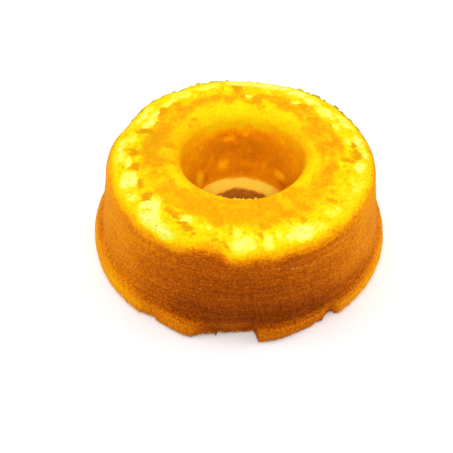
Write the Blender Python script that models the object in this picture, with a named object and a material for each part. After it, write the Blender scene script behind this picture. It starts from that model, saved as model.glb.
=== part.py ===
"""Pineapple cake: a ring cake turned out of its mould, as one solid body.

Metres, +Z up. The origin is the middle of the underside, which lies flat on z = 0.
-Y is the front of the cake and +X is its right. Azimuths run from +X towards +Y, so the
front is at -90 degrees.
"""

import math

import bmesh
import bpy
from mathutils import Vector

# ---- driving sizes -------------------------------------------------------------------
CAKE_HEIGHT = 0.0655          # underside to the highest part of the top
BRIM_RADIUS = 0.1003          # the swollen brim round the foot, at its widest
BRIM_WIDEST_HEIGHT = 0.0043   # height of that widest line
BRIM_UNDERCUT = 0.0038        # how far the brim draws in again down to the underside
GROOVE_RADIUS = 0.0930        # the soft groove between the brim and the wall
GROOVE_HEIGHT = 0.0172
WALL_TOP_RADIUS = 0.0850      # the wall leans in a little towards the top
SHOULDER_ROUND = 0.0105       # rounding between the wall and the top
TOP_CROWN = 0.0005            # the top swells by this much between its two edges
LIP_ROUND = 0.0086            # rounding between the top and the hole
NECK_RADIUS = 0.0387          # the hole just under its lip
HOLE_FOOT_RADIUS = 0.0354     # the hole where it meets the ledge
LEDGE_ROOT_HEIGHT = 0.0068    # the ledge of risen crumb at the bottom of the hole
LEDGE_EDGE_HEIGHT = 0.0047
LEDGE_RADIUS = 0.0252         # the opening that the ledge leaves
LEDGE_APRON = 0.0068          # crust that slopes in from there down to the underside
LEDGE_TOE_HEIGHT = 0.0005     # height of its foremost edge

# The wall and the hole stand a little off the middle of the brim.
WALL_SHIFT = Vector((0.0011, 0.0007))
HOLE_SHIFT = Vector((0.0020, 0.0018))

# ---- finer shape of the brim and of the ledge ----------------------------------------
BRIM_ROLL_OUT = 0.72          # share of the undercut that is regained part of the way up
BRIM_ROLL_UP = 0.36           # that place, as a share of the widest line's height
BRIM_FULLNESS = 0.9           # power of the cosine from the brim down into the groove
LEAST_BRIM = 0.0004           # the brim stands out over the groove by this much at least
LEAST_UNDERCUT = 0.3          # share of the undercut that is left where the brim is gone
LEDGE_COVE_UP = 0.0016        # the wall of the hole runs out into the ledge in a cove
LEDGE_COVE_IN = 0.0018
LEDGE_SLOPE = 0.0022          # width of the rounded edge of the ledge
LEDGE_NOSE = 0.55             # height of its foremost line, as a share of the edge's height
UNDERSIDE_RINGS = (0.34, 0.67)

# ---- unevenness ----------------------------------------------------------------------
BRIM_WAVE = 0.0003
WALL_WAVE = 0.0004
TOP_WAVE = 0.0005
LIP_WAVE = 0.0003
HOLE_WAVE = 0.0004
LEDGE_WAVE = 0.0011

# Worn and broken places of the brim, as first azimuth, last azimuth, depth at the first
# and depth at the last. The azimuths are in degrees and the depths in metres.
BRIM_BITES = (
    (-127.8, -121.4, 0.0010, 0.0028),   # chip at the front left
    (-121.4, -112.0, 0.0016, 0.0004),   # worn edge beside it
    (-106.4, -98.8, 0.0016, 0.0062),    # edge that thins out towards the wide gap
    (-98.8, -84.4, 0.0070, 0.0086),     # wide gap at the front
    (-75.0, -59.0, 0.0004, 0.0024),     # edge that thins out towards the short gap
    (-59.0, -53.4, 0.0026, 0.0050),     # short gap at the front right
)
BITE_SOFTNESS = 0.9             # degrees over which an end of such a place runs out

# Low places along the rim of the top, as middle azimuth, half width and depth.
RIM_DIPS = (
    (157.0, 14.0, 0.0011),
    (121.0, 8.0, 0.0006),
    (84.0, 28.0, 0.0010),
)

# ---- mesh density --------------------------------------------------------------------
SEGMENTS = 144
BRIM_STEPS = 5
WALL_STEPS = 3
SHOULDER_STEPS = 5
TOP_STEPS = 4
LIP_STEPS = 4
HOLE_STEPS = 3


def mix(first, last, share):
    """Value that lies the given share of the way from first to last."""
    return first + (last - first) * share


def smooth_step(value):
    """Soft ramp from 0 to 1 while value runs from -1 to 1."""
    clamped = min(1.0, max(-1.0, value))
    return 0.5 + 0.5 * math.sin(0.5 * math.pi * clamped)


def waves(azimuth, size, counts, turn):
    """Sum of a few cosine waves round the cake; size is the most that it can reach."""
    total = 0.0
    for order, count in enumerate(counts):
        total += math.cos(count * azimuth + turn * (order + 1))
    return size * total / len(counts)


def bite_depth(azimuth):
    """How much of the brim is worn or broken away at this azimuth."""
    degrees = math.degrees(azimuth)
    depth = 0.0
    for first, last, first_depth, last_depth in BRIM_BITES:
        enter = smooth_step((degrees - first) / BITE_SOFTNESS)
        leave = smooth_step((last - degrees) / BITE_SOFTNESS)
        share = min(1.0, max(0.0, (degrees - first) / (last - first)))
        depth = max(depth, mix(first_depth, last_depth, share) * enter * leave)
    return depth


def rim_dip(azimuth):
    """How far the rim of the top is sunk at this azimuth."""
    degrees = math.degrees(azimuth)
    depth = 0.0
    for middle, half_width, full_depth in RIM_DIPS:
        away = (degrees - middle + 180.0) % 360.0 - 180.0
        if abs(away) < half_width:
            depth += full_depth * math.cos(0.5 * math.pi * away / half_width) ** 2
    return depth


def brim_radius(azimuth):
    """Widest radius of the brim."""
    whole = BRIM_RADIUS - BRIM_WAVE + waves(azimuth, BRIM_WAVE, (4, 6, 9), 1.3)
    return whole - bite_depth(azimuth)


def top_height(azimuth):
    """Height of the top along its outer edge."""
    level = CAKE_HEIGHT - TOP_CROWN - TOP_WAVE
    return level + waves(azimuth, TOP_WAVE, (2, 3, 7), 0.6) - rim_dip(azimuth)


def lip_height(azimuth):
    """Height of the top along the lip of the hole."""
    return CAKE_HEIGHT - TOP_CROWN - TOP_WAVE + waves(azimuth, LIP_WAVE, (2, 3), 0.6)


def outside_points(azimuth):
    """Section from the foot of the brim up to the start of the top."""
    brim = brim_radius(azimuth)
    groove = GROOVE_RADIUS + waves(azimuth, WALL_WAVE, (3, 4), 2.1)
    groove = min(groove, brim - LEAST_BRIM)
    shoulder = WALL_TOP_RADIUS + waves(azimuth, WALL_WAVE, (3, 4, 8), 2.1) - rim_dip(azimuth)
    height = top_height(azimuth)
    left = (brim - groove) / (BRIM_RADIUS - GROOVE_RADIUS)
    foot = brim - BRIM_UNDERCUT * min(1.0, max(LEAST_UNDERCUT, left))
    points = [(foot, 0.0), (mix(foot, brim, BRIM_ROLL_OUT), BRIM_ROLL_UP * BRIM_WIDEST_HEIGHT)]
    for step in range(BRIM_STEPS + 1):
        share = step / BRIM_STEPS
        bulge = max(0.0, math.cos(0.5 * math.pi * share)) ** BRIM_FULLNESS
        points.append((mix(groove, brim, bulge),
                       mix(BRIM_WIDEST_HEIGHT, GROOVE_HEIGHT, share)))
    for step in range(1, WALL_STEPS + 1):
        share = step / WALL_STEPS
        points.append((mix(groove, shoulder, share),
                       mix(GROOVE_HEIGHT, height - SHOULDER_ROUND, share)))
    for step in range(1, SHOULDER_STEPS + 1):
        angle = 0.5 * math.pi * step / SHOULDER_STEPS
        points.append((shoulder - SHOULDER_ROUND * (1.0 - math.cos(angle)),
                       height - SHOULDER_ROUND * (1.0 - math.sin(angle))))
    return points


def inside_points(azimuth):
    """Section from the lip of the hole down to the foot of the ledge."""
    neck = NECK_RADIUS + waves(azimuth, HOLE_WAVE, (2, 5), 0.4)
    height = lip_height(azimuth)
    root_height = LEDGE_ROOT_HEIGHT + waves(azimuth, LEDGE_WAVE, (2, 3), 2.6)
    opening = LEDGE_RADIUS + waves(azimuth, LEDGE_WAVE, (3, 5, 8), 1.9)
    points = []
    for step in range(LIP_STEPS + 1):
        angle = 0.5 * math.pi * step / LIP_STEPS
        points.append((neck + LIP_ROUND * (1.0 - math.sin(angle)),
                       height - LIP_ROUND * (1.0 - math.cos(angle))))
    for step in range(1, HOLE_STEPS + 1):
        share = step / HOLE_STEPS
        points.append((mix(neck, HOLE_FOOT_RADIUS, share),
                       mix(height - LIP_ROUND, root_height + LEDGE_COVE_UP, share)))
    points.append((HOLE_FOOT_RADIUS - LEDGE_COVE_IN, root_height))
    points.append((opening + LEDGE_SLOPE, LEDGE_EDGE_HEIGHT))
    points.append((opening, LEDGE_NOSE * LEDGE_EDGE_HEIGHT))
    points.append((opening - LEDGE_APRON, LEDGE_TOE_HEIGHT))
    points.append((opening - LEDGE_APRON, 0.0))
    return points


def section(azimuth):
    """Closed section of the ring at one azimuth, as points in space."""
    direction = Vector((math.cos(azimuth), math.sin(azimuth)))
    loop = []
    for radius, height in outside_points(azimuth):
        share = smooth_step(2.0 * height / GROOVE_HEIGHT - 1.0)
        loop.append((WALL_SHIFT * share + direction * radius, height))
    inside = [(HOLE_SHIFT + direction * radius, height) for radius, height in inside_points(azimuth)]
    outer_place, outer_height = loop[-1]
    inner_place, inner_height = inside[0]
    for step in range(1, TOP_STEPS):
        share = step / TOP_STEPS
        crown = TOP_CROWN * math.sin(math.pi * share)
        loop.append((outer_place.lerp(inner_place, share),
                     mix(outer_height, inner_height, share) + crown))
    loop.extend(inside)
    foot_outside = loop[0][0]
    foot_inside = loop[-1][0]
    for share in UNDERSIDE_RINGS:
        loop.append((foot_inside.lerp(foot_outside, share), 0.0))
    return [Vector((place.x, place.y, height)) for place, height in loop]


def build_cake():
    """Join the sections round the ring into one closed body."""
    mesh = bmesh.new()
    rings = []
    for number in range(SEGMENTS):
        azimuth = 2.0 * math.pi * number / SEGMENTS - math.pi
        rings.append([mesh.verts.new(point) for point in section(azimuth)])
    count = len(rings[0])
    for number in range(SEGMENTS):
        here = rings[number]
        after = rings[(number + 1) % SEGMENTS]
        for place in range(count):
            following = (place + 1) % count
            mesh.faces.new((here[place], after[place], after[following], here[following]))
    bmesh.ops.recalc_face_normals(mesh, faces=mesh.faces)
    for face in mesh.faces:
        face.smooth = True
    return mesh


def crust_material():
    """Baked crust of the cake."""
    material = bpy.data.materials.new("baked_crust")
    material.use_nodes = True
    shader = material.node_tree.nodes["Principled BSDF"]
    shader.inputs["Base Color"].default_value = (0.78, 0.36, 0.03, 1.0)
    shader.inputs["Roughness"].default_value = 0.75
    return material


def main():
    for item in list(bpy.data.objects):
        bpy.data.objects.remove(item, do_unlink=True)
    mesh = build_cake()
    data = bpy.data.meshes.new("cake")
    mesh.to_mesh(data)
    mesh.free()
    data.materials.append(crust_material())
    cake = bpy.data.objects.new("cake", data)
    bpy.context.scene.collection.objects.link(cake)


main()
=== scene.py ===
"""Looks of a pineapple ring cake: golden sponge turned out of its mould, with a browned
side, a broken brim and a top whose thin skin has come away in pale patches.

Metres, +Z up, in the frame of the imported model. -Y is the front of the cake and +X is its
right. Azimuths run from +X towards +Y, so the front is at -90 degrees.
"""

import math
import random

import bmesh
import bpy
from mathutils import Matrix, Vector, noise
from mathutils.bvhtree import BVHTree


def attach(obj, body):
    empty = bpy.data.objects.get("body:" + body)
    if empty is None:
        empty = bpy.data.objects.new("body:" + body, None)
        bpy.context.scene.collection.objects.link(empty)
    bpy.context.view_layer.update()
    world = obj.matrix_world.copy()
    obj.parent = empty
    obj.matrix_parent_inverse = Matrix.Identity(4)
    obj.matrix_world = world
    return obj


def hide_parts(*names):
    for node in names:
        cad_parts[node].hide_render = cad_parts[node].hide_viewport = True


MM = 0.001

# ---- sizes of the cake -----------------------------------------------------------------
CAKE_HEIGHT = 65.5 * MM
BRIM_RADIUS = 100.3 * MM
BRIM_WIDEST_HEIGHT = 4.3 * MM
BRIM_UNDERCUT = 3.8 * MM
GROOVE_RADIUS = 93.0 * MM
GROOVE_HEIGHT = 17.2 * MM
WALL_TOP_RADIUS = 85.0 * MM
SHOULDER_ROUND = 10.5 * MM
TOP_CROWN = 0.5 * MM
LIP_ROUND = 8.6 * MM
NECK_RADIUS = 38.7 * MM
HOLE_FOOT_RADIUS = 35.4 * MM
LEDGE_ROOT_HEIGHT = 6.8 * MM
LEDGE_EDGE_HEIGHT = 4.7 * MM
LEDGE_RADIUS = 25.2 * MM
LEDGE_APRON = 6.8 * MM
LEDGE_TOE_HEIGHT = 0.5 * MM
WALL_SHIFT = Vector((1.1 * MM, 0.7 * MM))
HOLE_SHIFT = Vector((2.0 * MM, 1.8 * MM))
TOP_CENTRE = 0.5 * (WALL_SHIFT + HOLE_SHIFT)

BRIM_FULLNESS = 0.9
LEAST_BRIM = 0.4 * MM
LEAST_UNDERCUT = 0.3
LEDGE_COVE_UP = 1.6 * MM
LEDGE_COVE_IN = 1.8 * MM
LEDGE_SLOPE = 2.2 * MM
LEDGE_NOSE = 0.55

BRIM_WAVE = 0.3 * MM
WALL_WAVE = 0.4 * MM
TOP_WAVE = 0.5 * MM
LIP_WAVE = 0.3 * MM
HOLE_WAVE = 0.4 * MM
LEDGE_WAVE = 1.1 * MM

# Worn and broken places of the brim: first azimuth, last azimuth, depth at each of them.
BRIM_BITES = (
    (-127.8, -121.4, 1.0 * MM, 2.8 * MM),
    (-121.4, -112.0, 1.6 * MM, 0.4 * MM),
    (-106.4, -98.8, 1.6 * MM, 6.2 * MM),
    (-98.8, -84.4, 7.0 * MM, 8.6 * MM),
    (-75.0, -59.0, 0.4 * MM, 2.4 * MM),
    (-59.0, -53.4, 2.6 * MM, 5.0 * MM),
)
BITE_SOFTNESS = 0.9

# Low places along the rim of the top: middle azimuth, half width and depth.
RIM_DIPS = (
    (157.0, 14.0, 1.1 * MM),
    (121.0, 8.0, 0.6 * MM),
    (84.0, 28.0, 1.0 * MM),
)

# ---- mesh density: zones of the section and their steps, from the foot outwards --------
SEGMENTS = 620
ZONES = (
    ("roll", 5),
    ("brim", 14),
    ("wall", 33),
    ("shoulder", 22),
    ("top", 34),
    ("lip", 14),
    ("hole", 14),
    ("ledge", 15),
    ("underside", 5),
)
OUTSIDE = ("roll", "brim", "wall", "shoulder")
TOP_SIDE = ("shoulder", "top", "lip")

# ---- depth of the relief below the outermost skin, in millimetres ----------------------
BROAD_RELIEF = 0.16
FINE_RELIEF = 0.07
TORN_STEP = 0.40
TORN_ROUGHNESS = 0.28
SHOULDER_ROUGHNESS = 0.20
LEDGE_ROUGHNESS = 0.25
FOOT_ROUGHNESS = 0.50

# ---- tones of the surface --------------------------------------------------------------
# Layers of the surface: baking from pale (0) to dark (1), which also holds painted shade at the
# front of the wall, by the groove, in the hole and on the ledge; bare crumb; dull olive tone, which
# in the deep hole and round the ledge is painted shade; tan of the ledge; and how strong the
# streaks of the crust are.
SURFACE_LAYERS = ("bake_and_painted_shade", "torn", "shade", "tan", "rough")
SIDE_STREAKS = 1.0
TOP_STREAKS = 0.35
HOLE_STREAKS = 0.4
LEDGE_STREAKS = 0.5

# Baking of the top: its pale rim, what each ring or mark adds, and what patches turn to.
RIM_TONE = 0.09
INNER_TONE = 0.12
MIDDLE_TONE = 0.18
DULLER_TONE = 0.06
FRAYED_TONE = 0.14
TEAR_LINE_TONE = 0.10
DULL_FLECK_TONE = 0.06
PALE_FLECK_TONE = -0.12
FRONT_TONE = 0.38
FRONT_MOTTLE = 0.04
LIGHT_TONE = 0.12
DARK_TONE = 0.47

# Dull olive tone of the dark marks on the top; in the deep part of the hole and round the ledge
# the dull colour is painted shade.
DARK_SHADE = 0.75
TEAR_LINE_SHADE = 0.50
DULL_FLECK_SHADE = 0.38
HOLE_SHADE = 0.40
LEDGE_CORNER_SHADE = 0.5

# Tone of the wall at its sides and at its front: at the groove, at the share WALL_MIDDLE
# of the way up, and at the shoulder. The darker front and the darker foot by the groove are
# partly browner crust and partly painted shade.
WALL_LOW_TONES = (0.56, 0.95)
WALL_MIDDLE_TONES = (0.47, 0.83)
WALL_HIGH_TONES = (0.42, 0.75)
WALL_MIDDLE = 0.4
UNDERSIDE_TONE = 0.7

# Where the browned side reaches less (+) or more (-) far over the shoulder: middle azimuth,
# half width of the soft end and of the full change, and the change.
SHOULDER_CHANGES = (
    (-92.0, 7.0, 2.0, 0.15),
    (-125.0, 16.0, 8.0, 0.12),
    (-102.0, 9.0, 3.0, -0.16),
    (35.0, 34.0, 22.0, -0.05),
    (132.0, 34.0, 20.0, 0.08),
)

# How far the outlines of patches wander, in millimetres, how much of it is fine, and how
# soft the edges of each kind of patch are.
PATCH_WANDER = 2.4
FINE_WANDER = 0.42
LIGHT_SOFTNESS = 0.80
DARK_SOFTNESS = 0.50
TORN_SOFTNESS = 0.85

# Patches of the top: azimuth, radius, half length along the ring, half width and strength.
DARK_PATCHES = (
    (-177.0, 66.5, 4.4, 3.8, 0.90), (-166.0, 66.5, 4.2, 2.8, 0.75), (-168.0, 73.5, 1.4, 1.1, 0.50),
    (-167.0, 51.0, 4.6, 9.5, 0.60), (-176.0, 58.5, 5.0, 4.0, 0.62), (-153.5, 67.5, 4.8, 2.4, 0.70),
    (-143.0, 69.5, 3.0, 4.4, 0.85), (-128.5, 67.2, 3.0, 2.0, 0.70), (-123.5, 67.8, 3.6, 1.5, 0.74),
    (-118.5, 70.2, 3.2, 1.6, 0.76), (-115.5, 72.4, 3.0, 1.7, 0.82), (-112.0, 75.6, 2.8, 1.6, 0.66),
    (-101.5, 79.0, 6.8, 3.8, 1.00), (-103.0, 62.5, 3.0, 2.8, 0.55), (-96.5, 66.0, 1.6, 3.6, 0.45),
    (-83.5, 71.5, 1.5, 3.6, 0.66), (-80.0, 64.8, 3.8, 1.9, 0.62), (-75.0, 62.5, 4.0, 1.7, 0.52),
    (-68.5, 68.5, 1.8, 2.8, 0.40), (-66.0, 60.5, 4.6, 2.2, 0.52), (-60.5, 68.0, 2.0, 3.4, 0.58),
    (-54.5, 61.0, 1.8, 1.8, 0.58), (-42.0, 67.5, 2.3, 3.8, 0.72), (-36.0, 64.0, 4.0, 2.2, 0.44),
    (-27.0, 63.0, 4.0, 1.8, 0.40), (-9.0, 66.0, 2.4, 3.8, 0.68), (-4.0, 71.2, 5.4, 3.2, 0.76),
    (-28.0, 56.5, 17.0, 4.4, 0.42), (-52.0, 47.5, 7.0, 4.4, 0.42), (3.0, 71.2, 3.4, 2.4, 0.74),
    (10.0, 61.0, 13.0, 3.2, 0.52), (22.0, 63.2, 2.8, 2.0, 0.55), (27.0, 54.5, 13.0, 6.0, 0.46),
    (22.0, 47.0, 8.0, 3.6, 0.40), (5.0, 49.0, 6.5, 3.0, 0.42), (44.0, 61.2, 7.4, 3.8, 0.60),
    (40.0, 53.0, 6.0, 3.4, 0.42), (57.0, 55.5, 6.4, 5.2, 0.54), (63.0, 60.5, 7.2, 2.4, 0.50),
    (77.0, 55.0, 3.4, 6.2, 0.88), (83.0, 50.5, 5.4, 1.9, 0.64), (92.0, 64.5, 3.2, 5.8, 0.84),
    (88.5, 57.0, 2.6, 4.0, 0.76), (99.0, 52.5, 3.8, 3.8, 0.58), (74.0, 46.5, 2.8, 2.6, 0.46),
    (106.0, 57.0, 3.2, 2.7, 0.62), (118.0, 56.0, 6.4, 4.2, 0.54), (135.0, 55.0, 8.4, 5.2, 0.54),
    (143.5, 64.2, 5.8, 2.7, 0.80), (133.0, 63.2, 4.0, 2.0, 0.54), (150.5, 62.0, 5.4, 2.3, 0.62),
    (157.0, 54.0, 6.4, 4.2, 0.62), (163.5, 64.5, 3.2, 5.8, 0.88), (166.0, 55.0, 6.4, 7.4, 0.76),
    (176.0, 56.0, 5.4, 6.6, 0.66), (174.0, 45.5, 3.2, 5.2, 0.80), (103.0, 63.0, 1.6, 2.2, 0.44),
    (134.0, 43.5, 1.8, 2.0, 0.80), (141.0, 42.8, 1.5, 1.6, 0.60), (-132.0, 79.0, 0.9, 0.9, 0.90),
    (-128.0, 80.0, 0.7, 0.7, 0.70), (112.0, 66.5, 1.2, 1.4, 0.44),
)
LIGHT_PATCHES = (
    (-166.0, 45.0, 5.0, 2.6, 0.70), (-145.0, 46.0, 12.0, 3.2, 0.90), (-150.0, 57.0, 4.0, 5.0, 0.60),
    (-160.0, 63.0, 6.0, 3.0, 0.50), (-120.0, 44.0, 5.0, 2.2, 0.70), (-110.0, 43.0, 5.0, 1.5, 0.60),
    (-62.0, 51.0, 3.2, 9.0, 0.60), (-43.0, 57.0, 5.0, 5.0, 0.45), (-25.0, 45.0, 14.0, 3.4, 1.00),
    (-5.0, 54.0, 4.0, 2.6, 0.60), (8.0, 44.5, 8.0, 2.0, 0.60), (48.0, 46.0, 9.0, 3.2, 0.90),
    (40.0, 57.0, 4.4, 3.0, 0.60), (66.0, 48.0, 4.6, 4.4, 1.00), (91.0, 47.0, 5.0, 5.0, 1.00),
    (108.0, 47.0, 7.0, 5.0, 0.60), (142.0, 57.0, 5.4, 2.6, 0.60), (128.0, 47.0, 9.0, 4.0, 0.50),
    (150.0, 44.5, 7.0, 2.4, 0.50), (179.0, 48.0, 2.0, 5.0, 0.60), (113.0, 62.0, 7.0, 4.0, 0.60),
    (-100.0, 49.0, 9.0, 2.0, 0.25), (-135.0, 59.0, 7.0, 2.4, 0.40), (-75.0, 57.5, 5.0, 2.0, 0.30),
)
TORN_PATCHES = (
    (-175.0, 76.5, 6.0, 4.0, 0.66), (-170.5, 70.8, 4.4, 2.2, 0.86), (-158.0, 72.5, 6.8, 4.8, 0.95),
    (-138.0, 71.0, 6.2, 6.0, 0.98), (-133.5, 77.5, 7.4, 5.6, 1.00), (-124.5, 81.0, 7.6, 4.6, 1.00),
    (-119.0, 66.4, 4.2, 2.2, 0.76), (-148.0, 76.0, 5.0, 3.4, 0.56), (-90.5, 76.0, 6.4, 6.8, 0.72),
    (-92.0, 69.5, 3.0, 4.0, 0.52), (-80.0, 77.0, 3.4, 6.0, 0.86), (-74.5, 74.0, 2.2, 5.0, 0.50),
    (-65.0, 75.5, 8.4, 5.4, 0.96), (-56.0, 78.0, 4.0, 4.0, 0.60), (-46.0, 75.0, 5.0, 4.0, 0.44),
    (-27.0, 76.0, 10.0, 3.6, 0.42), (-13.0, 73.4, 4.8, 3.8, 0.90), (-3.0, 77.4, 6.0, 2.6, 0.80),
    (7.0, 75.0, 7.0, 4.0, 0.80), (7.0, 67.2, 5.0, 2.2, 0.62), (20.0, 66.8, 5.0, 2.6, 0.62),
    (23.0, 74.0, 9.0, 3.6, 0.66), (34.0, 68.6, 8.0, 4.0, 0.74), (46.0, 71.0, 7.0, 4.4, 0.80),
    (54.0, 61.5, 3.0, 3.6, 0.60), (57.0, 74.0, 7.0, 5.0, 0.92), (72.0, 75.5, 16.0, 5.0, 0.96),
    (72.0, 64.0, 3.6, 2.6, 0.44), (83.5, 57.5, 3.6, 3.2, 0.46), (90.0, 74.0, 10.0, 3.6, 0.66),
    (108.0, 72.0, 9.0, 4.0, 0.50), (124.0, 72.0, 9.0, 4.4, 0.52), (135.5, 68.2, 7.0, 3.2, 0.74),
    (147.0, 68.0, 4.8, 2.7, 0.62), (155.5, 67.0, 6.6, 3.6, 0.90), (150.0, 74.5, 9.0, 3.2, 0.60),
    (170.0, 72.0, 5.0, 3.0, 0.58), (176.0, 75.5, 6.0, 3.6, 0.66), (-107.0, 68.0, 3.0, 3.0, 0.36),
)

# Marks on the wall of the hole: azimuth, height, half length, half height, change of baking.
HOLE_MARKS = (
    (143.0, 19.0, 4.2, 6.5, -0.28), (110.0, 22.0, 4.8, 6.0, -0.24), (40.0, 20.5, 6.4, 3.2, -0.28),
    (103.0, 42.5, 4.8, 1.9, -0.32), (133.0, 13.0, 2.4, 6.0, 0.20), (33.0, 14.5, 5.0, 3.0, 0.22),
    (88.0, 14.0, 9.0, 3.0, 0.14), (72.0, 30.0, 6.0, 4.0, 0.08), (62.0, 22.0, 2.4, 5.0, -0.12),
    (123.0, 30.0, 2.6, 3.0, -0.12), (92.0, 49.0, 7.0, 1.8, 0.10), (110.0, 46.0, 5.0, 1.6, 0.10),
    (86.0, 45.0, 3.0, 1.2, -0.16), (72.0, 38.0, 7.0, 3.0, 0.08), (98.0, 35.0, 6.0, 3.0, 0.08),
)

# ---- small pieces ----------------------------------------------------------------------
# Strips of skin standing along the rim: azimuth, radius, half length, height and tone.
RIM_CURLS = (
    (58.0, 79.5, 2.6, 1.5, 0.7), (53.0, 79.5, 2.0, 1.0, 0.6), (48.5, 79.8, 4.5, 1.1, 0.9),
    (43.0, 79.5, 1.6, 1.4, 0.7), (35.5, 79.6, 3.0, 1.2, 0.9), (31.0, 79.8, 2.2, 1.5, 0.8),
    (24.0, 80.0, 4.0, 0.9, 0.8), (17.0, 80.0, 3.6, 1.0, 0.8), (10.0, 80.0, 3.0, 0.8, 0.8),
    (104.0, 79.0, 3.6, 0.8, 0.4), (112.0, 79.0, 2.2, 1.1, 0.5), (120.0, 79.2, 3.6, 1.1, 0.6),
    (126.0, 79.4, 2.6, 0.9, 0.7), (132.0, 79.4, 3.6, 0.9, 0.7), (138.5, 79.5, 3.6, 0.8, 0.7),
    (146.0, 79.5, 3.4, 0.8, 0.7), (150.0, 79.5, 2.4, 0.7, 0.6),
)
# Their share of that height, steps along them, depth of their root and thickness; then the
# number of small ones, and the azimuths between which they stand.
CURL_RISE = 0.95
CURL_STEPS = 6
CURL_ROOT = 0.25
CURL_THICKNESS = 0.3 * MM
SMALL_CURLS = 26
BACK_AZIMUTHS = (10.0, 158.0)

# Flecks on the wall: azimuth and height of the ends of a torn line; lone flecks with their
# azimuth, height, size and tone.
WALL_FLECKS = 34
FLECK_LINE = ((-82.0, 53.0), (-62.0, 47.0))
LONE_FLECKS = (
    (-105.0, 36.0, 0.50, 0.1), (-62.0, 29.0, 0.45, 1.0),
    (-98.0, 30.0, 0.30, 0.2), (-74.0, 39.0, 0.25, 0.1),
)

# Numbers of crumbs: on bare places for each area of half length by half width, at the lip
# of the hole and along the foot. OUTERMOST_CRUMB is the largest radius of one on the top.
TORN_CRUMBS = 14
TORN_CRUMB_AREA = 25.0
OUTERMOST_CRUMB = 80.5
LIP_CRUMBS = 20
FOOT_CRUMBS = 420
# Room left between small pieces and the full height of the cake.
TOP_CLEARANCE = 0.3 * MM

random.seed(4)


def mix(first, last, share):
    """Value that lies the given share of the way from first to last."""
    return first + (last - first) * share


def smooth_step(value):
    """Soft ramp from 0 to 1 while value runs from -1 to 1."""
    clamped = min(1.0, max(-1.0, value))
    return 0.5 + 0.5 * math.sin(0.5 * math.pi * clamped)


def ramp(value, low, high):
    """Soft ramp from 0 at low to 1 at high; low may be the larger one."""
    return smooth_step(2.0 * (value - low) / (high - low) - 1.0)


def angle_between(first, last):
    """Signed angle from last to first, in degrees, between -180 and 180."""
    return (first - last + 180.0) % 360.0 - 180.0


def near(degrees, middle, outer, inner):
    """1 within inner degrees of the middle azimuth, falling softly to 0 at outer degrees."""
    return ramp(abs(angle_between(degrees, middle)), outer, inner)


def band(radius, start, inner, outer, end):
    """1 between the inner and outer radius, falling softly to 0 at start and at end."""
    return ramp(radius, start, inner) * ramp(radius, end, outer)


# ---- form ------------------------------------------------------------------------------
def waves(azimuth, size, counts, turn):
    """Sum of a few cosine waves round the cake; size is the most that it can reach."""
    total = 0.0
    for order, count in enumerate(counts):
        total += math.cos(count * azimuth + turn * (order + 1))
    return size * total / len(counts)


def bite_depth(degrees):
    """How much of the brim is worn or broken away at this azimuth."""
    depth = 0.0
    for first, last, first_depth, last_depth in BRIM_BITES:
        enter = smooth_step((degrees - first) / BITE_SOFTNESS)
        leave = smooth_step((last - degrees) / BITE_SOFTNESS)
        share = min(1.0, max(0.0, (degrees - first) / (last - first)))
        depth = max(depth, mix(first_depth, last_depth, share) * enter * leave)
    return depth


def rim_dip(degrees):
    """How far the rim of the top is sunk at this azimuth."""
    depth = 0.0
    for middle, half_width, full_depth in RIM_DIPS:
        away = angle_between(degrees, middle)
        if abs(away) < half_width:
            depth += full_depth * math.cos(0.5 * math.pi * away / half_width) ** 2
    return depth


def ring_sizes(azimuth):
    """Sizes of the section at one azimuth."""
    degrees = math.degrees(azimuth)
    brim = BRIM_RADIUS - BRIM_WAVE + waves(azimuth, BRIM_WAVE, (4, 6, 9), 1.3)
    brim -= bite_depth(degrees)
    groove = GROOVE_RADIUS + waves(azimuth, WALL_WAVE, (3, 4), 2.1)
    groove = min(groove, brim - LEAST_BRIM)
    left = (brim - groove) / (BRIM_RADIUS - GROOVE_RADIUS)
    level = CAKE_HEIGHT - TOP_CROWN - TOP_WAVE
    dip = rim_dip(degrees)
    return {
        "direction": Vector((math.cos(azimuth), math.sin(azimuth))),
        "brim": brim,
        "groove": groove,
        "foot": brim - BRIM_UNDERCUT * min(1.0, max(LEAST_UNDERCUT, left)),
        "shoulder": WALL_TOP_RADIUS + waves(azimuth, WALL_WAVE, (3, 4, 8), 2.1) - dip,
        "top": level + waves(azimuth, TOP_WAVE, (2, 3, 7), 0.6) - dip,
        "lip": level + waves(azimuth, LIP_WAVE, (2, 3), 0.6),
        "neck": NECK_RADIUS + waves(azimuth, HOLE_WAVE, (2, 5), 0.4),
        "root": LEDGE_ROOT_HEIGHT + waves(azimuth, LEDGE_WAVE, (2, 3), 2.6),
        "opening": LEDGE_RADIUS + waves(azimuth, LEDGE_WAVE, (3, 5, 8), 1.9),
    }


def outside_place(zone, share, ring):
    """Radius and height of a place between the foot of the brim and the top."""
    if zone == "roll":
        turn = 0.5 * math.pi * share
        return (mix(ring["foot"], ring["brim"], math.sin(turn)),
                BRIM_WIDEST_HEIGHT * (1.0 - math.cos(turn)))
    if zone == "brim":
        bulge = max(0.0, math.cos(0.5 * math.pi * share)) ** BRIM_FULLNESS
        return (mix(ring["groove"], ring["brim"], bulge),
                mix(BRIM_WIDEST_HEIGHT, GROOVE_HEIGHT, share))
    if zone == "wall":
        return (mix(ring["groove"], ring["shoulder"], share),
                mix(GROOVE_HEIGHT, ring["top"] - SHOULDER_ROUND, share))
    turn = 0.5 * math.pi * share
    return (ring["shoulder"] - SHOULDER_ROUND * (1.0 - math.cos(turn)),
            ring["top"] - SHOULDER_ROUND * (1.0 - math.sin(turn)))


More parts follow.
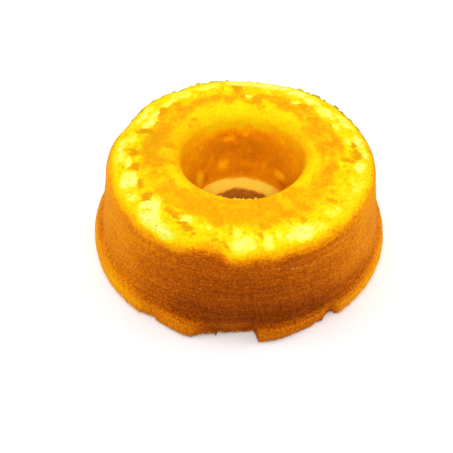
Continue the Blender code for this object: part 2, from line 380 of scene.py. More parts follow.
def ledge_place(share, ring):
    """Radius and height of a place on the ledge, from the wall of the hole to the foot."""
    corners = (
        (HOLE_FOOT_RADIUS, ring["root"] + LEDGE_COVE_UP),
        (HOLE_FOOT_RADIUS - LEDGE_COVE_IN, ring["root"]),
        (ring["opening"] + LEDGE_SLOPE, LEDGE_EDGE_HEIGHT),
        (ring["opening"], LEDGE_NOSE * LEDGE_EDGE_HEIGHT),
        (ring["opening"] - LEDGE_APRON, LEDGE_TOE_HEIGHT),
        (ring["opening"] - LEDGE_APRON, 0.0),
    )
    along = share * (len(corners) - 1)
    first = min(int(along), len(corners) - 2)
    return (mix(corners[first][0], corners[first + 1][0], along - first),
            mix(corners[first][1], corners[first + 1][1], along - first))


def inside_place(zone, share, ring):
    """Radius and height of a place between the top and the foot of the ledge."""
    if zone == "lip":
        turn = 0.5 * math.pi * share
        return (ring["neck"] + LIP_ROUND * (1.0 - math.sin(turn)),
                ring["lip"] - LIP_ROUND * (1.0 - math.cos(turn)))
    if zone == "hole":
        return (mix(ring["neck"], HOLE_FOOT_RADIUS, share),
                mix(ring["lip"] - LIP_ROUND, ring["root"] + LEDGE_COVE_UP, share))
    return ledge_place(share, ring)


def surface_point(zone, share, ring):
    """Place on the surface before its fine relief."""
    if zone in OUTSIDE:
        radius, height = outside_place(zone, share, ring)
        lean = smooth_step(2.0 * height / GROOVE_HEIGHT - 1.0)
        flat = WALL_SHIFT * lean + ring["direction"] * radius
        return Vector((flat.x, flat.y, height))
    if zone in ("lip", "hole", "ledge"):
        radius, height = inside_place(zone, share, ring)
        flat = HOLE_SHIFT + ring["direction"] * radius
        return Vector((flat.x, flat.y, height))
    if zone == "top":
        place = surface_point("shoulder", 1.0, ring).lerp(surface_point("lip", 0.0, ring), share)
        place.z += TOP_CROWN * math.sin(math.pi * share)
        return place
    return surface_point("ledge", 1.0, ring).lerp(surface_point("roll", 0.0, ring), share)


def section_stations():
    """Every zone and share along the closed section, each place once."""
    stations = []
    for zone, steps in ZONES:
        stations.extend((zone, step / steps) for step in range(steps))
    return stations


def spin_ring(stations):
    """Plain ring of the section, spun round the axis; its layer holds each vertex's station."""
    mesh = bmesh.new()
    layer = mesh.verts.layers.int.new("station")
    ring = ring_sizes(0.0)
    loop = []
    for number, (zone, share) in enumerate(stations):
        vertex = mesh.verts.new(surface_point(zone, share, ring))
        vertex[layer] = number
        loop.append(vertex)
    for number, vertex in enumerate(loop):
        mesh.edges.new((vertex, loop[(number + 1) % len(loop)]))
    bmesh.ops.spin(mesh, geom=mesh.verts[:] + mesh.edges[:], cent=(0.0, 0.0, 0.0),
                   axis=(0.0, 0.0, 1.0), angle=2.0 * math.pi, steps=SEGMENTS, use_merge=True)
    return mesh


# ---- fields of colour and tearing ------------------------------------------------------
def grain(place, size, seed=0.0):
    """Noise of about -1 to 1 whose lumps are the given size across."""
    return noise.noise(place / size + Vector((seed, 2.0 * seed, 3.0 * seed)))


def patch_field(patches, degrees, radius, soft):
    """Strongest of the patches that cover this place of the top; radius in millimetres."""
    found = 0.0
    for azimuth, middle, half_length, half_width, strength in patches:
        sideways = math.radians(angle_between(degrees, azimuth)) * middle / half_length
        if abs(sideways) > 1.0 + soft:
            continue
        away = math.hypot(sideways, (radius - middle) / half_width)
        found = max(found, strength * ramp(away, 1.0 + soft, 1.0 - soft))
    return found


def two_grains(place, broad, fine, seeds, share):
    """Lumps of the broad size in millimetres, and a share of lumps of the fine size."""
    return grain(place, broad * MM, seeds[0]) + share * grain(place, fine * MM, seeds[1])


def wandering_place(place):
    """Azimuth and radius in millimetres of a place on the top, for patches with ragged outlines."""
    wander = Vector((grain(place, 6.0 * MM, 1.0), grain(place, 6.0 * MM, 2.0)))
    wander += FINE_WANDER * Vector((grain(place, 2.4 * MM, 3.0), grain(place, 2.4 * MM, 4.0)))
    flat = place.xy - TOP_CENTRE + wander * PATCH_WANDER * MM
    return math.degrees(math.atan2(flat.y, flat.x)), flat.length / MM


def top_rings(place, degrees, radius, front):
    """Baking of the top by its rings, before its patches."""
    lumps = 0.5 + 0.8 * grain(place, 7.0 * MM, 5.0) + 0.5 * grain(place, 2.6 * MM, 6.0)
    mottle = ramp(lumps, 0.1, 0.9)
    inner_ring = ramp(radius, 66.0, 56.0)
    middle_ring = band(radius, 47.5, 51.5, 58.0, 66.0)
    bake_and_painted_shade = RIM_TONE + INNER_TONE * inner_ring + MIDDLE_TONE * middle_ring * mottle * (1.0 - front)
    duller = near(degrees, 162.0, 40.0, 24.0) + near(degrees, 8.0, 24.0, 10.0)
    bake_and_painted_shade += DULLER_TONE * inner_ring * duller
    plain_front = band(radius, 38.0, 46.0, 59.0, 68.0)
    return mix(bake_and_painted_shade, FRONT_TONE + FRONT_MOTTLE * mottle, front * plain_front)


def top_fields(place):
    """How browned, how torn and how dull the top is at this place."""
    degrees, radius = wandering_place(place)
    front = near(degrees, -102.0, 62.0, 42.0)
    bake_and_painted_shade = top_rings(place, degrees, radius, front)

    drawn = Vector((degrees * 0.6, radius * 2.2, 0.0)) * MM
    frayed = ramp(grain(drawn, 3.0 * MM, 19.0) + 0.5 * grain(place, 2.6 * MM, 20.0), 0.05, 0.42)
    frayed *= band(radius, 60.0, 65.0, 75.0, 80.0)
    bake_and_painted_shade += FRAYED_TONE * frayed
    bake_and_painted_shade = mix(bake_and_painted_shade, LIGHT_TONE, patch_field(LIGHT_PATCHES, degrees, radius, LIGHT_SOFTNESS))
    spotty = 1.15 + 0.40 * grain(place, 2.2 * MM, 28.0)
    dark = min(1.0, spotty * patch_field(DARK_PATCHES, degrees, radius, DARK_SOFTNESS))
    bake_and_painted_shade = max(bake_and_painted_shade, mix(bake_and_painted_shade, DARK_TONE, dark))

    line = grain(drawn, 6.0 * MM, 29.0) + 0.4 * grain(place, 2.6 * MM, 31.0)
    tear_line = ramp(abs(line), 0.10, 0.0) * ramp(grain(place, 11.0 * MM, 30.0), -0.10, 0.25)
    tear_line *= band(radius, 58.0, 63.0, 77.0, 81.0)
    rim_ring = ramp(radius, 62.0, 70.0) * (1.0 - 0.7 * frayed)
    torn = 0.09 + 0.34 * grain(place, 6.5 * MM, 7.0) + 0.22 * grain(place, 2.6 * MM, 8.0)
    uneven = 0.98 + 0.35 * grain(place, 4.0 * MM, 17.0) + 0.18 * grain(place, 1.8 * MM, 18.0)
    bare = uneven * patch_field(TORN_PATCHES, degrees, radius, TORN_SOFTNESS)
    torn = max(0.0, bare, rim_ring * torn) * ramp(dark, 0.75, 0.35) * (1.0 - 0.6 * tear_line)

    flecks = two_grains(place, 4.6, 2.6, (36.0, 37.0), 0.35)
    fleck_ring = band(radius, 50.0, 54.0, 76.0, 80.0) * (1.0 - 0.6 * front)
    pale_fleck = ramp(flecks, 0.12, 0.62) * fleck_ring
    dull_fleck = ramp(flecks, -0.16, -0.60) * fleck_ring
    bake_and_painted_shade += TEAR_LINE_TONE * tear_line
    bake_and_painted_shade += DULL_FLECK_TONE * dull_fleck + PALE_FLECK_TONE * pale_fleck
    shade = max(DARK_SHADE * ramp(dark, 0.25, 0.95), TEAR_LINE_SHADE * tear_line,
                DULL_FLECK_SHADE * dull_fleck)
    return bake_and_painted_shade, torn + 0.13 * pale_fleck, shade


def wall_tone(degrees, share):
    """How dark the outer wall is: browner crust, with painted shade darkening its front and its
    foot by the groove; share runs from the groove up to the shoulder.
    """
    front = near(degrees, -90.0, 68.0, 10.0)
    low = mix(*WALL_LOW_TONES, near(degrees, -83.0, 68.0, 10.0))
    middle = mix(*WALL_MIDDLE_TONES, front)
    high = mix(*WALL_HIGH_TONES, front)
    if share < WALL_MIDDLE:
        return mix(low, middle, ramp(share, 0.0, WALL_MIDDLE))
    return mix(middle, high, ramp(share, WALL_MIDDLE, 1.0))


def foot_tone(degrees, rise):
    """How dark the brim is: browner crust, with painted shade at its front and by the groove; rise
    runs from its widest line up to the groove.
    """
    gone = ramp(bite_depth(degrees), 0.5 * MM, 5.0 * MM)
    front = near(degrees, -88.0, 58.0, 15.0)
    left = near(degrees, 180.0, 60.0, 20.0)
    edge = 0.34 + 0.28 * front + 0.18 * gone + 0.05 * left
    return mix(edge, wall_tone(degrees, 0.0) + 0.04, ramp(rise, 0.35, 0.95))


def hole_tone(share, place):
    """How dark the wall of the hole is: browner crust, with painted light keeping its sides lighter
    and painted shade darkening its far middle with depth; share runs from the lip down to the
    ledge.
    """
    flat = place.xy - HOLE_SHIFT
    degrees = math.degrees(math.atan2(flat.y, flat.x))
    far_middle = near(degrees, 88.0, 75.0, 12.0)
    ragged = share + 0.07 * grain(place, 5.0 * MM, 33.0) + 0.05 * grain(place, 2.4 * MM, 34.0)
    # Sides lighter than the far middle: painted light; both darken with depth partly as painted
    # shade.
    side = mix(0.20, 0.33, ramp(ragged, -0.10, 0.10)) + 0.08 * ramp(share, 0.35, 0.60)
    middle = mix(0.10, 0.43, ramp(ragged, 0.02, 0.20)) + 0.15 * ramp(share, 0.16, 0.38)
    middle -= 0.08 * ramp(share, 0.60, 0.80)
    bake_and_painted_shade = mix(side, middle, far_middle)
    long_lumps = Vector((place.x, place.y, 2.5 * place.z))
    bake_and_painted_shade += 0.09 * grain(long_lumps, 8.0 * MM, 13.0) + 0.07 * grain(long_lumps, 3.0 * MM, 15.0)
    for azimuth, height, half_length, half_height, change in HOLE_MARKS:
        sideways = math.radians(angle_between(degrees, azimuth)) * NECK_RADIUS / (half_length * MM)
        if abs(sideways) < 1.5:
            away = math.hypot(sideways, (place.z - height * MM) / (half_height * MM))
            bake_and_painted_shade += change * ramp(away, 1.5, 0.4)
    return bake_and_painted_shade


def hole_fields(share, place, broad):
    """Fields of the wall of the hole."""
    bake_and_painted_shade = hole_tone(share, place) + 0.5 * broad
    # Deep in the hole the colour turns darker and duller: painted shade.
    deep = ramp(share, 0.06, 0.28) * ramp(bake_and_painted_shade, 0.24, 0.42)
    return bake_and_painted_shade + 0.03 * deep, 0.0, HOLE_SHADE * deep, 0.0, HOLE_STREAKS


def ledge_fields(share, place, broad):
    """Fields of the ledge: painted shade in the corner at the wall, tan crumb, then the brown apron
    inside, partly browned bottom and partly painted shade.
    """
    # The apron inside is the brown bottom of the cake, made darker still as painted shade.
    apron = ramp(share + 0.07 * grain(place, 4.0 * MM, 14.0), 0.36, 0.54)
    tan = mix(0.85, 0.12, apron) * ramp(share, 0.0, 0.16)
    tan *= 0.88 + 0.30 * two_grains(place, 5.0, 2.4, (38.0, 39.0), 0.6)
    uneven = 0.13 * grain(place, 7.0 * MM, 32.0) + 0.07 * grain(place, 2.8 * MM, 35.0)
    # The corner at the wall is darker and duller: painted shade.
    corner = ramp(share + uneven, 0.17, 0.03)
    bake_and_painted_shade = mix(mix(0.34, 0.62, corner), 0.96, apron) + broad
    return bake_and_painted_shade, 0.0, LEDGE_CORNER_SHADE * corner, tan, LEDGE_STREAKS


def shoulder_fields(share, place, broad):
    """Fields of the shoulder: the browned side fades raggedly into the top."""
    degrees = math.degrees(math.atan2(place.y, place.x))
    bake_and_painted_shade, torn, shade = top_fields(place)
    ragged = 0.09 * grain(place, 18.0 * MM, 16.0) + 0.09 * grain(place, 6.0 * MM, 10.0)
    ragged += 0.06 * grain(place, 2.2 * MM, 11.0)
    for azimuth, outer, inner, change in SHOULDER_CHANGES:
        ragged += change * near(degrees, azimuth, outer, inner)
    fading = 0.80 * (1.0 - ramp(share + ragged, -0.06, 0.90))
    slope = min(wall_tone(degrees, 1.0) + broad, fading)
    bare = ramp(share + ragged, 0.45, 0.85)
    streaks = mix(SIDE_STREAKS, TOP_STREAKS, bare)
    return max(slope, bake_and_painted_shade * bare), torn * bare, shade * bare, 0.0, streaks


def surface_fields(zone, share, place):
    """Baking with painted shade in places, tearing, dull tone that is painted shade in the hole and
    round the ledge, tan and streaks of the surface at this place.
    """
    degrees = math.degrees(math.atan2(place.y, place.x))
    broad = 0.04 * grain(place, 16.0 * MM, 9.0)
    if zone == "roll":
        return foot_tone(degrees, 0.0) + 0.16 * (1.0 - share) + broad, 0.0, 0.0, 0.0, SIDE_STREAKS
    if zone == "brim":
        return foot_tone(degrees, share) + broad, 0.0, 0.0, 0.0, SIDE_STREAKS
    if zone == "wall":
        return wall_tone(degrees, share) + broad, 0.0, 0.0, 0.0, SIDE_STREAKS
    if zone == "underside":
        return UNDERSIDE_TONE + broad, 0.0, 0.0, 0.0, SIDE_STREAKS
    if zone == "hole":
        return hole_fields(share, place, broad)
    if zone == "ledge":
        return ledge_fields(share, place, broad)
    if zone == "shoulder":
        return shoulder_fields(share, place, broad)
    bake_and_painted_shade, torn, shade = top_fields(place)
    if zone == "lip":
        inner = ramp(share + 0.05 * grain(place, 6.0 * MM, 12.0), 0.2, 1.0)
        bake_and_painted_shade = mix(bake_and_painted_shade, hole_tone(0.0, place), inner)
        shade *= 1.0 - inner
    return bake_and_painted_shade, torn, shade, 0.0, TOP_STREAKS


def relief_depth(zone, share, place, torn):
    """How far the surface is sunk below the outermost skin at this place."""
    depth = BROAD_RELIEF * MM * (1.0 + grain(place, 9.0 * MM, 20.0))
    depth += FINE_RELIEF * MM * (1.0 + grain(place, 2.4 * MM, 21.0))
    if zone in TOP_SIDE:
        depth += TORN_STEP * MM * ramp(torn, 0.20, 0.55)
        rough = ramp(torn, 0.15, 0.7)
        depth += rough * TORN_ROUGHNESS * MM * (1.0 + grain(place, 1.8 * MM, 22.0))
    if zone == "shoulder":
        skin = ramp(share + 0.16 * grain(place, 3.0 * MM, 25.0), 0.50, 0.62)
        depth += SHOULDER_ROUGHNESS * MM * skin * (1.0 + grain(place, 2.2 * MM, 26.0))
    if zone == "ledge":
        depth += LEDGE_ROUGHNESS * MM * (1.0 + grain(place, 2.6 * MM, 23.0))
    if zone in ("roll", "brim"):
        degrees = math.degrees(math.atan2(place.y, place.x))
        broken = 0.55 + ramp(bite_depth(degrees), 0.3 * MM, 3.0 * MM)
        low = 1.0 if zone == "roll" else ramp(share, 0.7, 0.0)
        lumps = 1.0 + 1.1 * grain(place, 3.4 * MM, 24.0) + 0.6 * grain(place, 1.6 * MM, 27.0)
        depth += low * broken * FOOT_ROUGHNESS * MM * max(0.0, lumps)
    return depth


def make_cake_body():
    """The whole cake as one closed skin, with its relief and its fields of colour."""
    stations = section_stations()
    mesh = spin_ring(stations)
    station = mesh.verts.layers.int["station"]
    turn = 2.0 * math.pi / SEGMENTS
    rings = [ring_sizes(number * turn - math.pi) for number in range(SEGMENTS)]
    for vertex in mesh.verts:
        azimuth = math.atan2(vertex.co.y, vertex.co.x)
        number = round((azimuth + math.pi) / turn) % SEGMENTS
        zone, share = stations[vertex[station]]
        vertex.co = surface_point(zone, share, rings[number])
    bmesh.ops.recalc_face_normals(mesh, faces=mesh.faces)
    mesh.normal_update()
    layers = [mesh.verts.layers.float.new(name) for name in SURFACE_LAYERS]
    moves = []
    for vertex in mesh.verts:
        zone, share = stations[vertex[station]]
        fields = surface_fields(zone, share, vertex.co)
        for layer, value in zip(layers, fields):
            vertex[layer] = value
        sunk = 0.0 if zone == "underside" else relief_depth(zone, share, vertex.co, fields[1])
        moves.append(vertex.normal * sunk)
    for vertex, move in zip(mesh.verts, moves):
        vertex.co -= move
        vertex.co.z = max(0.0, vertex.co.z)
    for face in mesh.faces:
        face.smooth = True
    tree = BVHTree.FromBMesh(mesh)
    body = finish_piece("cake_body", mesh, crust_material())
    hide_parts("cake")
    return tree


def mesh_object(name, mesh, material):
    """Object of the mesh in the scene, with one material."""
    data = bpy.data.meshes.new(name)
    mesh.to_mesh(data)
    mesh.free()
    data.materials.append(material)
    made = bpy.data.objects.new(name, data)
    bpy.context.scene.collection.objects.link(made)
    return made


def finish_piece(name, mesh, material):
    """Piece of the cake made of the mesh, moving with it."""
    piece = mesh_object(name, mesh, material)
    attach(piece, "root")
    return piece


# ---- crumbs and flakes -----------------------------------------------------------------
def place_on_top(tree, degrees, radius):
    """Place and normal of the top at this azimuth and radius; radius in millimetres."""
    angle = math.radians(degrees)
    flat = TOP_CENTRE + Vector((math.cos(angle), math.sin(angle))) * radius * MM
    start = Vector((flat.x, flat.y, 2.0 * CAKE_HEIGHT))
    place, normal, _, _ = tree.ray_cast(start, Vector((0.0, 0.0, -1.0)))
    return place, normal


def place_on_side(tree, degrees, height):
    """Place and normal of the outer side at this azimuth and height in millimetres."""
    angle = math.radians(degrees)
    outwards = Vector((math.cos(angle), math.sin(angle), 0.0))
    start = outwards * 2.0 * BRIM_RADIUS
    start.z = height * MM
    place, normal, _, _ = tree.ray_cast(start, -outwards)
    return place, normal


def add_crumb(mesh, layer, place, normal, size, tone):
    """Small irregular lump of crumb, half sunk into the surface."""
    made = bmesh.ops.create_icosphere(mesh, subdivisions=1, radius=size)["verts"]
    stretch = Vector((random.uniform(0.7, 1.4), random.uniform(0.7, 1.2), random.uniform(0.6, 1.0)))
    turn = Vector((0.0, 0.0, 1.0)).rotation_difference(normal)
    for vertex in made:
        local = vertex.co * random.uniform(0.75, 1.2)
        vertex.co = place + turn @ (local * stretch) + normal * size * 0.15
        vertex.co.z = max(0.02 * MM, vertex.co.z)
        vertex[layer] = tone


def add_curl(mesh, layer, tree, degrees, radius, length, height, tone):
    """Thin strip of skin that stands up along the rim and leans outwards; sizes in millimetres."""
    made = bmesh.ops.create_grid(mesh, x_segments=CURL_STEPS, y_segments=2, size=1.0)["verts"]
    faces = list({face for vertex in made for face in vertex.link_faces})
    wobble = [random.uniform(-0.5, 0.5) for _ in range(CURL_STEPS + 1)]
    lean = random.uniform(-0.2, 0.8)
    for vertex in made:
        along = vertex.co.x
        up = 0.5 * (vertex.co.y + 1.0)
        shift = wobble[round(0.5 * (along + 1.0) * CURL_STEPS)]
        angle = degrees + math.degrees(along * length / radius)
        place, _ = place_on_top(tree, angle, radius + 0.5 * shift)
        turn = math.radians(angle)
        outwards = Vector((math.cos(turn), math.sin(turn), 0.0))
        tall = height * (1.0 - along * along) * (1.0 + 0.8 * shift) * up
        vertex.co = place + outwards * (lean * tall * up) * MM
        vertex.co.z += (tall - CURL_ROOT) * MM
        vertex[layer] = tone + 0.3 * shift
    thick = bmesh.ops.extrude_face_region(mesh, geom=faces)["geom"]
    moved = [item for item in thick if isinstance(item, bmesh.types.BMVert)]
    turn = math.radians(degrees)
    outwards = Vector((math.cos(turn), math.sin(turn), 0.0))
    bmesh.ops.translate(mesh, verts=moved, vec=CURL_THICKNESS * outwards)


def new_small_pieces():
    """Empty mesh with a layer for each small piece's tone."""
    mesh = bmesh.new()
    return mesh, mesh.verts.layers.float.new("tone")


def make_rim_curls(tree):
    """Torn edges of skin that stand along the back of the rim."""
    mesh, layer = new_small_pieces()
    for degrees, radius, length, height, tone in RIM_CURLS:
        add_curl(mesh, layer, tree, degrees, radius, length, CURL_RISE * height, tone)
    for _ in range(SMALL_CURLS):
        degrees = random.uniform(*BACK_AZIMUTHS)
        add_curl(mesh, layer, tree, degrees, random.uniform(78.0, 80.5), random.uniform(0.8, 2.2),
                 random.uniform(0.4, 0.9), random.uniform(0.0, 0.7))
    keep_in_box(mesh)
    bmesh.ops.recalc_face_normals(mesh, faces=mesh.faces)
    finish_piece("skin_curls", mesh, flake_material("torn_skin", CURL_LIGHT, CURL_DARK))


def keep_in_box(mesh):
    """Press every vertex down to just below the height of the cake."""
    for vertex in mesh.verts:
        vertex.co.z = min(vertex.co.z, CAKE_HEIGHT - TOP_CLEARANCE)


def make_torn_crumbs(tree):
    """Loose pale crumbs on the bare places of the top."""
    mesh, layer = new_small_pieces()
    for azimuth, radius, half_length, half_width, strength in TORN_PATCHES:
        area = half_length * half_width / TORN_CRUMB_AREA
        for _ in range(round(strength * TORN_CRUMBS * area)):
            across = min(OUTERMOST_CRUMB, radius + half_width * random.gauss(0.0, 0.55))
            along = azimuth + math.degrees(half_length * random.gauss(0.0, 0.55) / radius)
            place, normal = place_on_top(tree, along, across)
            size = random.uniform(0.22, 0.50) * MM
            add_crumb(mesh, layer, place, normal, size, random.uniform(0.0, 0.3))
    for _ in range(LIP_CRUMBS):
        place, normal = place_on_top(tree, random.gauss(-91.0, 9.0), random.uniform(39.0, 41.8))
        size = random.uniform(0.3, 0.9) * MM
        add_crumb(mesh, layer, place, normal, size, random.uniform(0.7, 1.0))
    keep_in_box(mesh)
    finish_piece("top_crumbs", mesh, flake_material("pale_crumb", LEMON, CRUMB_GOLD))


def make_foot_crumbs(tree):
    """Crumbs along the broken foot of the brim, and flecks on the wall above it."""
    mesh, layer = new_small_pieces()
    for _ in range(FOOT_CRUMBS):
        degrees = random.gauss(-92.0, 24.0)
        place, normal = place_on_side(tree, degrees, random.uniform(0.2, 2.2))
        size = random.uniform(0.3, 0.8) * MM
        add_crumb(mesh, layer, place - normal * 0.1 * MM, normal, size, random.uniform(0.0, 1.0))
    for _ in range(WALL_FLECKS):
        share = random.uniform(0.0, 1.0)
        degrees = mix(FLECK_LINE[0][0], FLECK_LINE[1][0], share)
        height = mix(FLECK_LINE[0][1], FLECK_LINE[1][1], share) + random.gauss(0.0, 0.5)
        place, normal = place_on_side(tree, degrees, height)
        size = random.uniform(0.15, 0.45) * MM
        add_crumb(mesh, layer, place, normal, size, random.uniform(0.1, 0.5))
    for degrees, height, size, tone in LONE_FLECKS:
        place, normal = place_on_side(tree, degrees, height)
        add_crumb(mesh, layer, place, normal, size * MM, tone)
    finish_piece("foot_crumbs", mesh, flake_material("brown_crumb", CRUMB_LIGHT, CRUMB_DARK))


# ---- materials -------------------------------------------------------------------------
# Colours are linear. The crust's colour runs from the palest skin to the darkest crust; where the
# layer holds painted shade, the darker stops paint that shade.
BAKE_AND_SHADE_STOPS = (
    (0.00, (0.80, 0.65, 0.0015)),
    (0.15, (0.84, 0.53, 0.001)),
    (0.30, (0.86, 0.385, 0.001)),
    (0.45, (0.84, 0.27, 0.001)),
    (0.60, (0.66, 0.165, 0.001)),
    (0.75, (0.46, 0.090, 0.001)),
    (0.90, (0.30, 0.052, 0.001)),
    (1.00, (0.18, 0.030, 0.001)),
)
LEMON = (0.73, 0.69, 0.016, 1.0)
PALE_CRUMB = (0.78, 0.78, 0.18, 1.0)
# Dull olive of the top's dark marks; in the deep hole and the ledge's corner it paints shade.
SHADED_CRUMB = (0.58, 0.29, 0.001, 1.0)
TAN_CRUMB = (0.68, 0.56, 0.06, 1.0)
CURL_LIGHT = (0.66, 0.54, 0.03, 1.0)
CURL_DARK = (0.34, 0.27, 0.05, 1.0)
CRUMB_GOLD = (0.80, 0.50, 0.06, 1.0)
CRUMB_LIGHT = (0.78, 0.42, 0.06, 1.0)
CRUMB_DARK = (0.42, 0.12, 0.006, 1.0)


def new_material(name, roughness):
    """Material with a Principled shader, its nodes and its shader."""
    material = bpy.data.materials.new(name)
    material.use_nodes = True
    shader = material.node_tree.nodes["Principled BSDF"]
    shader.inputs["Roughness"].default_value = roughness
    return material, material.node_tree, shader


def add_noise(tree, vector, scale, detail, roughness):
    """Noise texture on the given coordinates, as its factor."""
    texture = tree.nodes.new("ShaderNodeTexNoise")
    texture.inputs["Scale"].default_value = scale
    texture.inputs["Detail"].default_value = detail
    texture.inputs["Roughness"].default_value = roughness
    tree.links.new(vector, texture.inputs["Vector"])
    return texture.outputs["Fac"]


def stretched_noise(tree, coordinates, scale, roughness):
    """Noise whose lumps are stretched by a scale for each axis."""
    layers = tree.nodes.new("ShaderNodeMapping")
    layers.inputs["Scale"].default_value = scale
    tree.links.new(coordinates, layers.inputs["Vector"])
    return add_noise(tree, layers.outputs["Vector"], 1.0, 3.0, roughness)


def add_math(tree, operation, first, second):
    """Math node; each input is a number or an output."""
    node = tree.nodes.new("ShaderNodeMath")
    node.operation = operation
    for socket, value in zip(node.inputs, (first, second)):
        if isinstance(value, float):
            socket.default_value = value
        else:
            tree.links.new(value, socket)
    return node.outputs[0]


def add_range(tree, value, low, high, to_low=0.0, to_high=1.0):
    """Soft Map Range of value from low..high to to_low..to_high."""
    node = tree.nodes.new("ShaderNodeMapRange")
    node.interpolation_type = "SMOOTHSTEP"
    node.inputs["From Min"].default_value = low
    node.inputs["From Max"].default_value = high
    node.inputs["To Min"].default_value = to_low
    node.inputs["To Max"].default_value = to_high
    tree.links.new(value, node.inputs["Value"])
    return node.outputs["Result"]


def add_mix(tree, factor, first, last):
    """Mix of two colours by an output; each colour is a value or an output."""
    node = tree.nodes.new("ShaderNodeMix")
    node.data_type = "RGBA"
    tree.links.new(factor, node.inputs[0])
    for socket, value in zip((node.inputs[6], node.inputs[7]), (first, last)):
        if isinstance(value, tuple):
            socket.default_value = value
        else:
            tree.links.new(value, socket)
    return node.outputs[2]


def add_colour_ramp(tree, value, stops):
    """Colour ramp of (position, colour) stops."""
    node = tree.nodes.new("ShaderNodeValToRGB")
    elements = node.color_ramp.elements
    while len(elements) < len(stops):
        elements.new(0.5)
    for element, (position, colour) in zip(elements, stops):
        element.position = position
        element.color = (*colour, 1.0)
    tree.links.new(value, node.inputs["Fac"])
    return node.outputs["Color"]


def attribute_value(tree, name):
    """Value of one of the mesh's own float layers."""
    node = tree.nodes.new("ShaderNodeAttribute")
    node.attribute_name = name
    return node.outputs["Fac"]


def crumb_grain_group():
    """Shader group of sponge grain: a fine mottle, and a height with small pores for the bump."""
    group = bpy.data.node_groups.new("crumb_grain", "ShaderNodeTree")
    group.interface.new_socket(name="Vector", in_out="INPUT", socket_type="NodeSocketVector")
    for name in ("Mottle", "Height"):
        group.interface.new_socket(name=name, in_out="OUTPUT", socket_type="NodeSocketFloat")
    entry = group.nodes.new("NodeGroupInput")
    leave = group.nodes.new("NodeGroupOutput")
    vector = entry.outputs["Vector"]
    mottle = add_noise(group, vector, 900.0, 3.0, 0.65)
    cells = group.nodes.new("ShaderNodeTexVoronoi")
    cells.inputs["Scale"].default_value = 650.0
    group.links.new(vector, cells.inputs["Vector"])
    pores = add_range(group, cells.outputs["Distance"], 0.10, 0.34, 1.0, 0.0)
    fine = add_noise(group, vector, 2600.0, 2.0, 0.6)
    height = add_math(group, "SUBTRACT", mottle, add_math(group, "MULTIPLY", pores, 0.6))
    height = add_math(group, "ADD", height, add_math(group, "MULTIPLY", fine, 0.4))
    group.links.new(mottle, leave.inputs["Mottle"])
    group.links.new(height, leave.inputs["Height"])
    return group


def place_grain(tree):
    """Object coordinates and the sponge grain group on them."""
    coordinates = tree.nodes.new("ShaderNodeTexCoord").outputs["Object"]
    group = tree.nodes.new("ShaderNodeGroup")
    group.node_tree = bpy.data.node_groups.get("crumb_grain") or crumb_grain_group()
    tree.links.new(coordinates, group.inputs["Vector"])
    return coordinates, group


def add_bump(tree, shader, height, strength, distance):
    """Bump on the shader's normal."""
    bump = tree.nodes.new("ShaderNodeBump")
    bump.inputs["Strength"].default_value = strength
    bump.inputs["Distance"].default_value = distance
    tree.links.new(height, bump.inputs["Height"])
    tree.links.new(bump.outputs["Normal"], shader.inputs["Normal"])


def crust_material():
    """Skin of the cake: browned sponge that turns to bare crumb where it is torn; its tone and dull
    layers also carry painted shade.
    """
    material, tree, shader = new_material("baked_sponge_skin", 0.75)
    coordinates, group = place_grain(tree)
    bake_and_painted_shade = attribute_value(tree, "bake_and_painted_shade")
    torn = attribute_value(tree, "torn")
    ragged = add_noise(tree, coordinates, 420.0, 4.0, 0.65)
    grains = stretched_noise(tree, coordinates, (700.0, 700.0, 1500.0), 0.75)
    lines = stretched_noise(tree, coordinates, (28.0, 28.0, 800.0), 0.6)
    streaks = add_math(tree, "ADD", add_range(tree, grains, 0.3, 0.7, -0.16, 0.16),
                       add_range(tree, lines, 0.35, 0.65, -0.045, 0.045))
    streaks = add_math(tree, "MULTIPLY", streaks, attribute_value(tree, "rough"))
    tone = add_math(tree, "ADD", bake_and_painted_shade, streaks)
    tone = add_math(tree, "ADD", tone, add_range(tree, ragged, 0.3, 0.7, -0.05, 0.05))
    mottle = add_range(tree, group.outputs["Mottle"], 0.25, 0.75, 0.04, -0.04)
    tone = add_math(tree, "ADD", tone, mottle)
    colour = add_colour_ramp(tree, tone, BAKE_AND_SHADE_STOPS)
    colour = add_mix(tree, attribute_value(tree, "tan"), colour, TAN_CRUMB)
    shade = add_math(tree, "ADD", attribute_value(tree, "shade"),
                     add_range(tree, ragged, 0.3, 0.7, -0.12, 0.12))
    colour = add_mix(tree, add_range(tree, shade, 0.06, 1.0), colour, SHADED_CRUMB)
    loose = add_math(tree, "MULTIPLY", add_range(tree, ragged, 0.3, 0.7, -0.18, 0.18),
                     add_range(tree, torn, 0.0, 0.2))
    tear = add_math(tree, "ADD", torn, loose)
    colour = add_mix(tree, add_range(tree, tear, 0.10, 0.45), colour, LEMON)
    colour = add_mix(tree, add_range(tree, tear, 0.28, 0.94), colour, PALE_CRUMB)
    tree.links.new(colour, shader.inputs["Base Color"])
    shader.inputs["Specular IOR Level"].default_value = 0.03
    add_bump(tree, shader, group.outputs["Height"], 0.45, 0.3 * MM)
    return material


def flake_material(name, light, dark):
    """Finish of small loose pieces, from their own tone between a light and a dark colour."""
    material, tree, shader = new_material(name, 0.75)
    _, group = place_grain(tree)
    mottle = add_range(tree, group.outputs["Mottle"], 0.3, 0.7, -0.2, 0.2)
    tone = add_math(tree, "ADD", attribute_value(tree, "tone"), mottle)
    colour = add_mix(tree, add_range(tree, tone, 0.0, 1.0), light, dark)
    tree.links.new(colour, shader.inputs["Base Color"])
    shader.inputs["Specular IOR Level"].default_value = 0.06
    add_bump(tree, shader, group.outputs["Height"], 0.4, 0.2 * MM)
    return material


# ---- stage -----------------------------------------------------------------------------
CAMERA_PLACE = (-7.96 * MM, -270.27 * MM, 295.22 * MM)
CAMERA_DOWN = 48.08
CAMERA_LENS = 44.94
SENSOR_WIDTH = 36.0

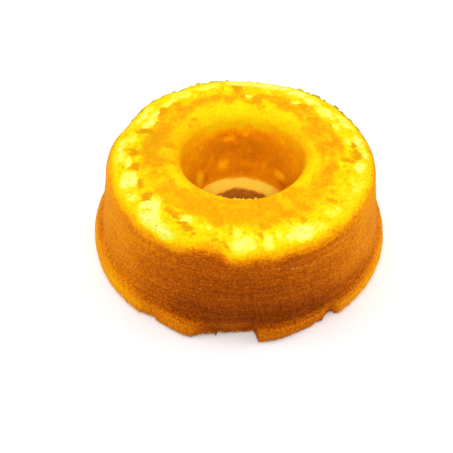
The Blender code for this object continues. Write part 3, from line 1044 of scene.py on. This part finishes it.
# Soft square lights: name, place, width and power; all shine towards the cake's middle.
SOFTBOX_AIM = (0.0, 0.0, 0.03)
SOFTBOXES = (
    ("overhead", (0.0, 0.10, 1.1), 1.1, 6.0),
    ("front_high", (0.0, -0.55, 1.05), 0.6, 5.0),
    ("left", (-0.95, 0.05, 0.50), 0.7, 4.5),
    ("right", (0.95, 0.05, 0.50), 0.7, 4.5),
    ("behind", (0.0, 0.95, 0.75), 0.8, 2.5),
)
# Soft narrow light into the hole, so that its far wall shows.
HOLE_LIGHT_PLACE = (0.0, -0.44, 0.50)
HOLE_LIGHT_AIM = (0.002, 0.026, 0.048)
HOLE_LIGHT_POWER = 13.5
HOLE_LIGHT_CONE = 11.5
HOLE_LIGHT_SIZE = 0.06

FILL_LIGHT = 0.16
BACKDROP_LIGHT = 1.0
FLOOR_RADIUS = 0.9
FLOOR_GAP = 0.05 * MM


def set_camera():
    """Camera at the photograph's angle."""
    data = bpy.data.cameras.new("camera")
    data.lens = CAMERA_LENS
    data.sensor_width = SENSOR_WIDTH
    data.clip_start = 0.01
    camera = bpy.data.objects.new("camera", data)
    camera.location = CAMERA_PLACE
    camera.rotation_euler = (math.radians(90.0 - CAMERA_DOWN), 0.0, 0.0)
    bpy.context.scene.collection.objects.link(camera)
    bpy.context.scene.camera = camera


def place_light(data, place, aim):
    """Put a light at place, shining towards aim."""
    light = bpy.data.objects.new(data.name, data)
    light.location = place
    light.rotation_euler = (Vector(aim) - Vector(place)).to_track_quat("-Z", "Y").to_euler()
    bpy.context.scene.collection.objects.link(light)


def set_lights():
    """High-key studio: soft lights overhead, high in front, at each side and behind."""
    for name, place, width, power in SOFTBOXES:
        softbox = bpy.data.lights.new(name, "AREA")
        softbox.shape = "SQUARE"
        softbox.size = width
        softbox.energy = power
        place_light(softbox, place, SOFTBOX_AIM)
    spot = bpy.data.lights.new("hole_spot", "SPOT")
    spot.energy = HOLE_LIGHT_POWER
    spot.spot_size = math.radians(HOLE_LIGHT_CONE)
    spot.spot_blend = 1.0
    spot.shadow_soft_size = HOLE_LIGHT_SIZE
    place_light(spot, HOLE_LIGHT_PLACE, HOLE_LIGHT_AIM)


def set_world():
    """White surroundings: a faint fill on the cake, and a bright backdrop for the camera."""
    world = bpy.data.worlds.new("studio")
    world.use_nodes = True
    tree = world.node_tree
    background = tree.nodes["Background"]
    background.inputs["Color"].default_value = (1.0, 1.0, 1.0, 1.0)
    seen = tree.nodes.new("ShaderNodeLightPath").outputs["Is Camera Ray"]
    strength = add_range(tree, seen, 0.0, 1.0, FILL_LIGHT, BACKDROP_LIGHT)
    tree.links.new(strength, background.inputs["Strength"])
    bpy.context.scene.world = world


def make_floor():
    """Plain round white floor, as wide as the lights reach."""
    mesh = bmesh.new()
    bmesh.ops.create_circle(mesh, cap_ends=True, segments=96, radius=FLOOR_RADIUS)
    material, _, shader = new_material("white_floor", 0.9)
    shader.inputs["Base Color"].default_value = (0.95, 0.95, 0.95, 1.0)
    shader.inputs["Specular IOR Level"].default_value = 0.1
    floor = mesh_object("floor", mesh, material)
    floor.location.z = -FLOOR_GAP


def main():
    """Build the visual model, its stage and its light."""
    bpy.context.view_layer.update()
    set_camera()
    set_lights()
    set_world()
    make_floor()
    surface = make_cake_body()
    make_rim_curls(surface)
    make_torn_crumbs(surface)
    make_foot_crumbs(surface)
    bpy.context.scene.view_settings.view_transform = "Standard"


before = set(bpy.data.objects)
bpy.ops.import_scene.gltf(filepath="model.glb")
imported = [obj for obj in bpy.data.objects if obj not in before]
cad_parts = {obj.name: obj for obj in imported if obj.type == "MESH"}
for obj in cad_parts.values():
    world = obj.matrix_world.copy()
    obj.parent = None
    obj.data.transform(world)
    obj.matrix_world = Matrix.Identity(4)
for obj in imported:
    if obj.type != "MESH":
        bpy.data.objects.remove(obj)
main()
